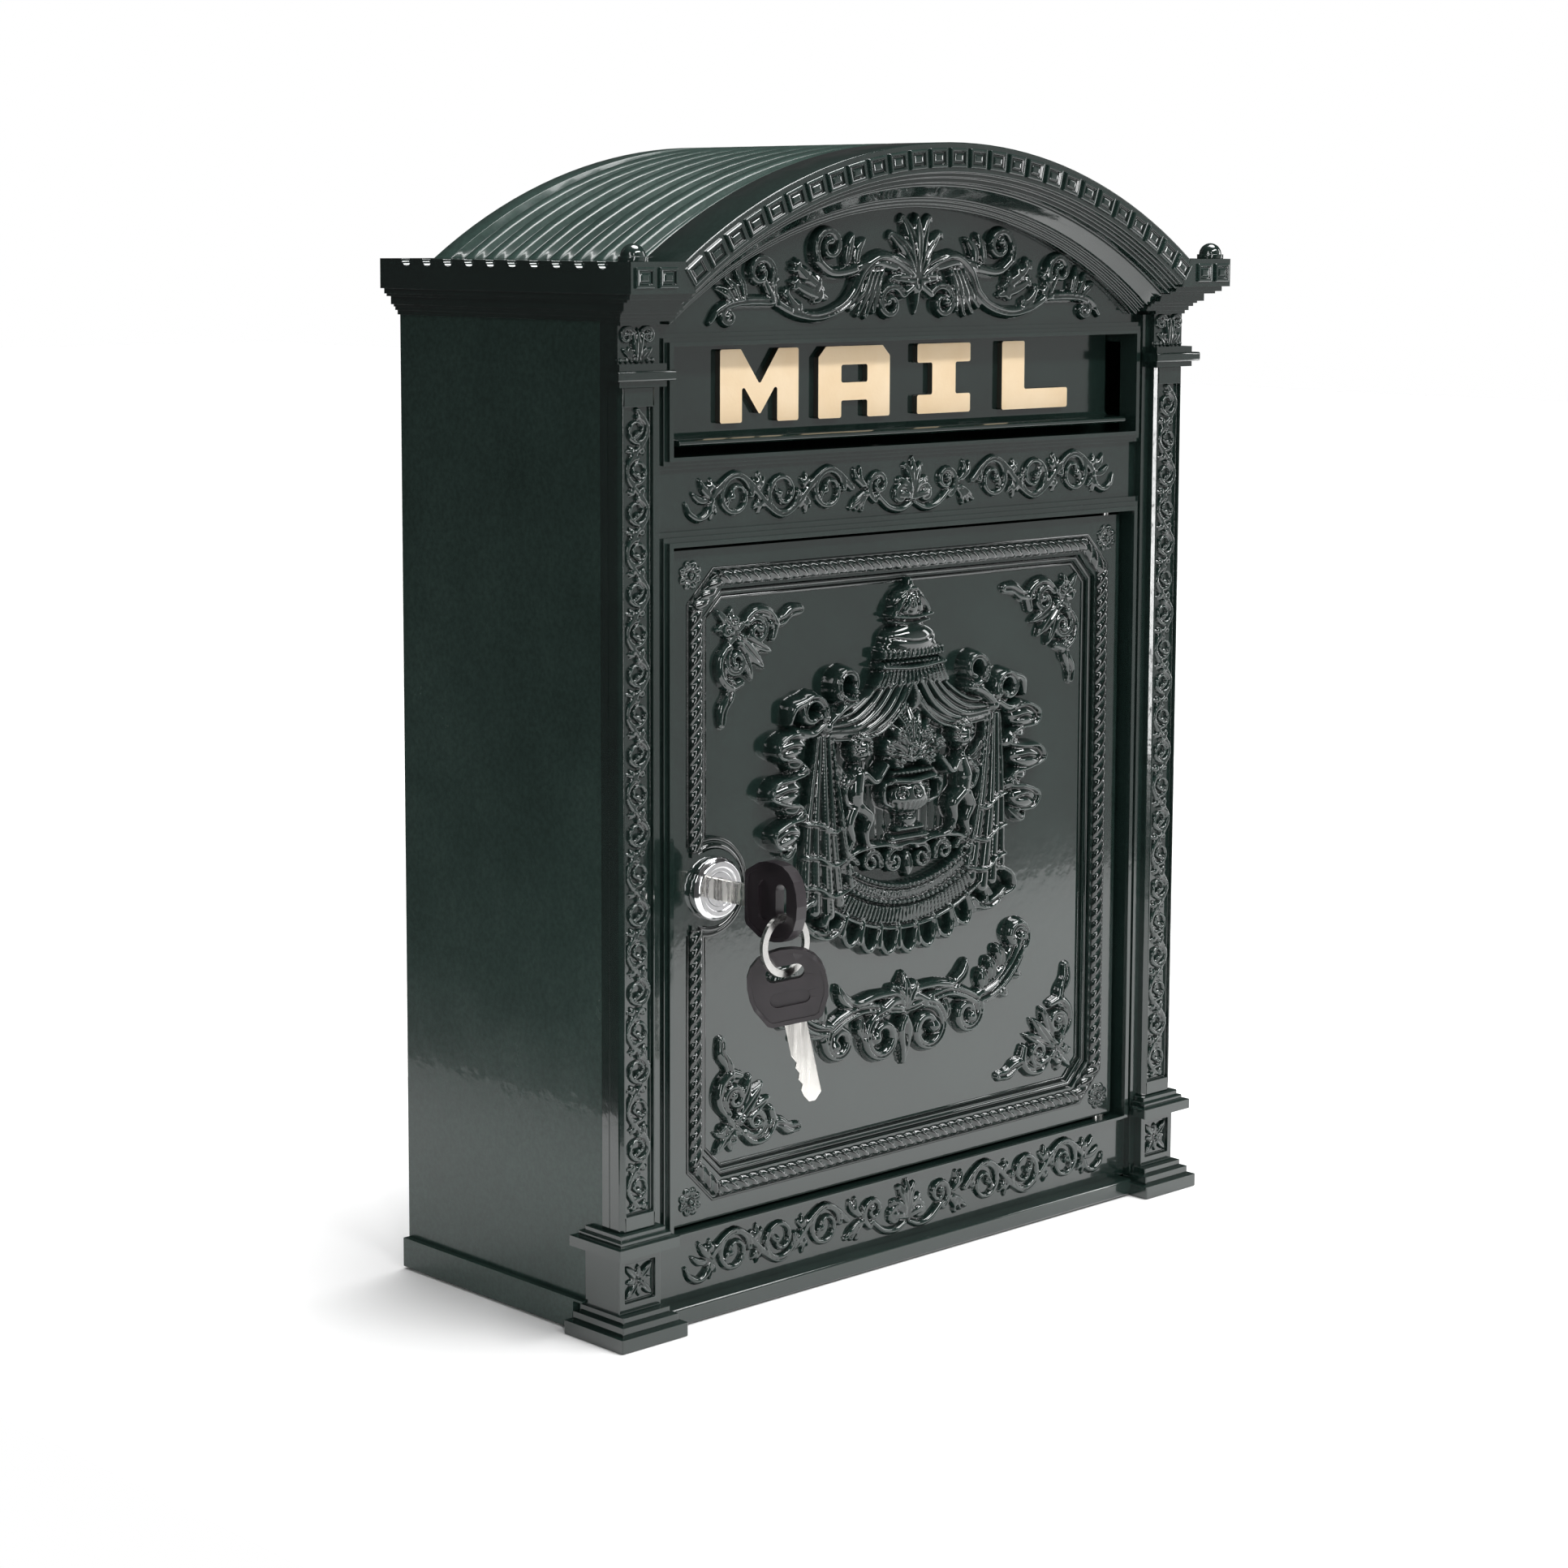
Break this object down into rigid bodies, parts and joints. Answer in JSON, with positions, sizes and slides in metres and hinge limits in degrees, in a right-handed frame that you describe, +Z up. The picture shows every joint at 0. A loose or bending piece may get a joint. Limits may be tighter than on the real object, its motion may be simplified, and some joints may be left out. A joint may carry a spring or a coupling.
{
  "type": "wall mounted mailbox",
  "caption": "Wall mounted mailbox with an arched ribbed roof, pilasters, a lockable side-hung door, a top-hung letter flap with raised letters, and keys in the lock.",
  "frame": {"origin": "middle of the four wall holes, on the back plate's rear face, where the wall is", "axes": "+Z up, +X to the right seen from the front, the front faces -Y and +Y points into the wall"},
  "size_m": [0.3272, 0.1734, 0.4394],
  "materials": {
    "green_enamel": "glossy dark green enamel on cast aluminium",
    "gold_paint": "satin pale gold paint",
    "lock_chrome": "polished chrome",
    "bright_steel": "nickel plated steel",
    "black_plastic": "moulded plastic, satin"
  },
  "bodies": {
    "cabinet": {"back_plate": "green_enamel", "left_side_panel": "green_enamel", "right_side_panel": "green_enamel", "bottom_plate": "green_enamel", "roof_shell": "green_enamel", "front_frame": "green_enamel", "pediment_arch": "green_enamel", "left_cornice": "green_enamel", "right_cornice": "green_enamel", "corner_finials": "green_enamel", "left_pillar": "green_enamel", "right_pillar": "green_enamel", "left_capital": "green_enamel", "right_capital": "green_enamel", "left_plinth": "green_enamel", "right_plinth": "green_enamel", "front_skirt": "green_enamel", "left_skirt": "green_enamel", "right_skirt": "green_enamel", "hinge_pins": "bright_steel", "hinge_washer": "bright_steel", "lock_keeper": "bright_steel", "flap_rod": "bright_steel", "flap_brackets": "green_enamel", "letter_baffle": "green_enamel", "frame_screws": "bright_steel", "back_screws": "bright_steel"},
    "door": {"door_panel": "green_enamel", "lock_body": "lock_chrome", "lock_nut": "bright_steel"},
    "lock_cylinder": {"lock_plug": "lock_chrome", "lock_cam": "bright_steel", "cam_screw": "bright_steel"},
    "key": {"key_blade": "bright_steel", "key_bow": "black_plastic"},
    "ring": {"key_ring": "bright_steel"},
    "spare_key": {"spare_key_blade": "bright_steel", "spare_key_bow": "black_plastic"},
    "flap": {"letter_flap": "green_enamel", "flap_letters": "gold_paint"}
  },
  "joints": [
    {"name": "door_hinge", "type": "hinge", "parent": "cabinet", "child": "door", "pos_m": [0.1185, -0.1177, -0.037], "axis": [0, 0, 1], "range_deg": [0, 100]},
    {"name": "flap_hinge", "type": "hinge", "parent": "cabinet", "child": "flap", "pos_m": [0, -0.1142, 0.169], "axis": [-1, 0, 0], "range_deg": [0, 35]},
    {"name": "lock_turn", "type": "hinge", "parent": "door", "child": "lock_cylinder", "pos_m": [-0.1035, -0.1126, -0.0373], "axis": [0, 1, 0], "range_deg": [0, 90]},
    {"name": "key_slide", "type": "slide", "parent": "lock_cylinder", "child": "key", "axis": [0, -1, 0], "range_m": [0, 0.022]},
    {"name": "ring_swing", "type": "hinge", "parent": "key", "child": "ring", "pos_m": [-0.1035, -0.1607, -0.0422], "axis": [1, 0, 0], "range_deg": [-14, 14]},
    {"name": "spare_key_swing", "type": "hinge", "parent": "ring", "child": "spare_key", "pos_m": [-0.1035, -0.1607, -0.0633], "axis": [0, 1, 0], "range_deg": [-5, 5]}
  ]
}
